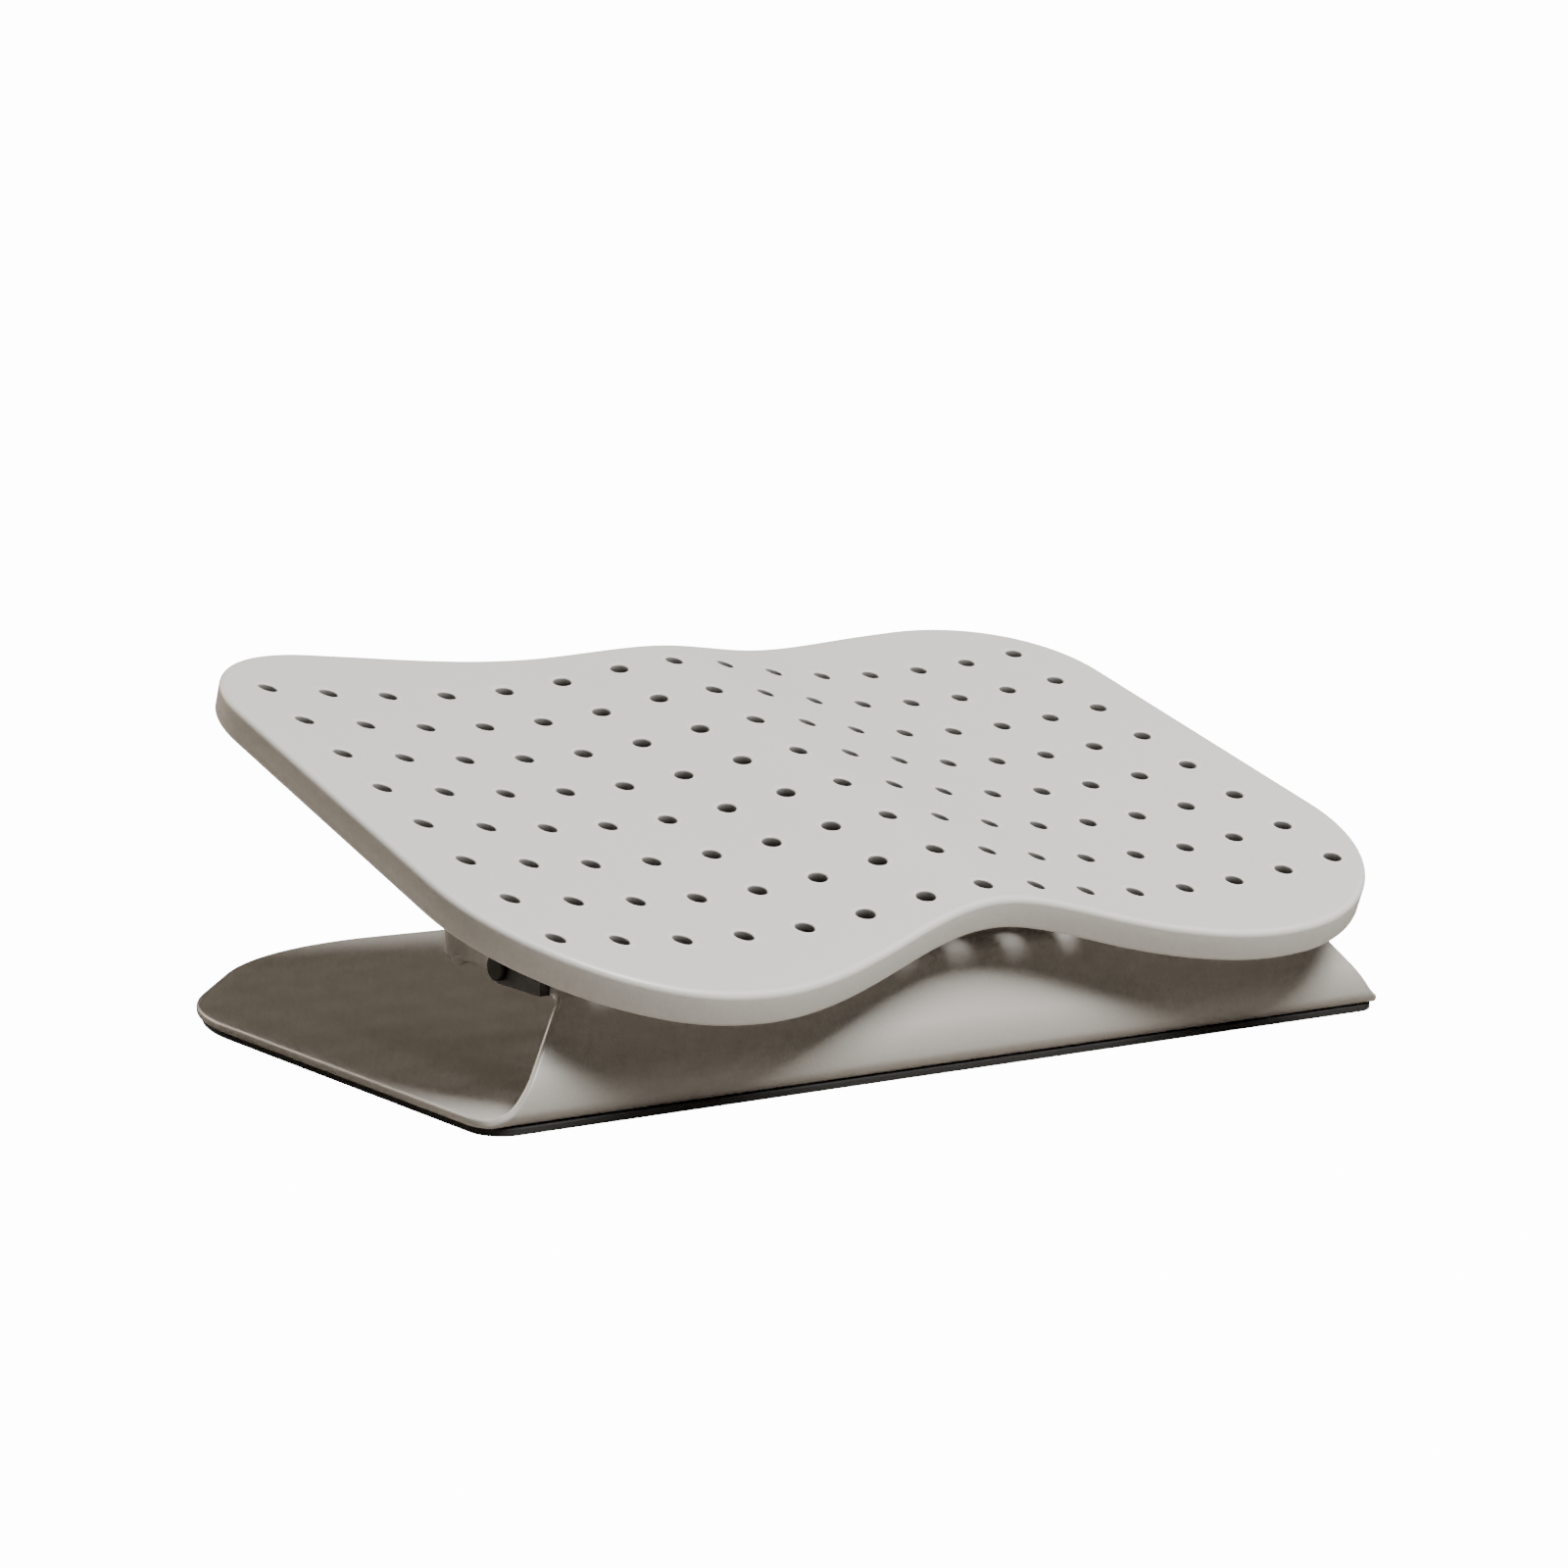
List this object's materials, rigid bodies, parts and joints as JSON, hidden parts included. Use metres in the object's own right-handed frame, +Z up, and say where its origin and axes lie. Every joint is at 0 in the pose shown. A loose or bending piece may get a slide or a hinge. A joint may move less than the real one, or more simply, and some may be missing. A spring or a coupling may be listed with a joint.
{
  "type": "adjustable footrest",
  "caption": "Under-desk footrest: a waved, perforated foot board that tilts on friction hinges at the head of a bent steel base with a rubber sole.",
  "frame": {"origin": "middle of the rubber sole's lower face, on the floor", "axes": "+X to the sitter's right, +Y away from the sitter, +Z up"},
  "size_m": [0.439, 0.3372, 0.1369],
  "materials": {
    "base_paint": "satin powder coat, warm grey",
    "sole_rubber": "matte, black",
    "board_plastic": "fine matte texture, pale warm grey",
    "bracket_black": "black oxide",
    "pin_steel": "turned",
    "friction_disc": "matte, dark",
    "spring_steel": "blued",
    "zinc_steel": "zinc plated",
    "arm_cast": "cast, light grey paint",
    "bush_bronze": "sintered",
    "rail_paint": "satin, grey",
    "insert_brass": "knurled",
    "stop_rubber": "matte, black"
  },
  "bodies": {
    "base": {"base_shell": "base_paint", "rubber_sole": "sole_rubber", "left_hinge_bracket": "bracket_black", "right_hinge_bracket": "bracket_black", "left_hinge_pin": "pin_steel", "right_hinge_pin": "pin_steel", "left_friction_washers": "friction_disc", "right_friction_washers": "friction_disc", "left_spring_washers": "spring_steel", "right_spring_washers": "spring_steel", "left_lock_nut": "zinc_steel", "right_lock_nut": "zinc_steel", "bracket_screws": "zinc_steel", "bracket_nuts": "zinc_steel", "tilt_stops": "stop_rubber"},
    "board": {"foot_board": "board_plastic", "left_hinge_arm": "arm_cast", "right_hinge_arm": "arm_cast", "left_arm_bush": "bush_bronze", "right_arm_bush": "bush_bronze", "cross_rail": "rail_paint", "arm_screws": "zinc_steel", "rail_screws": "zinc_steel", "threaded_inserts": "insert_brass"}
  },
  "joints": [
    {"name": "board_tilt", "type": "hinge", "parent": "base", "child": "board", "pos_m": [0, -0.107, 0.0476], "axis": [1, 0, 0], "range_deg": [-18, 12]}
  ]
}
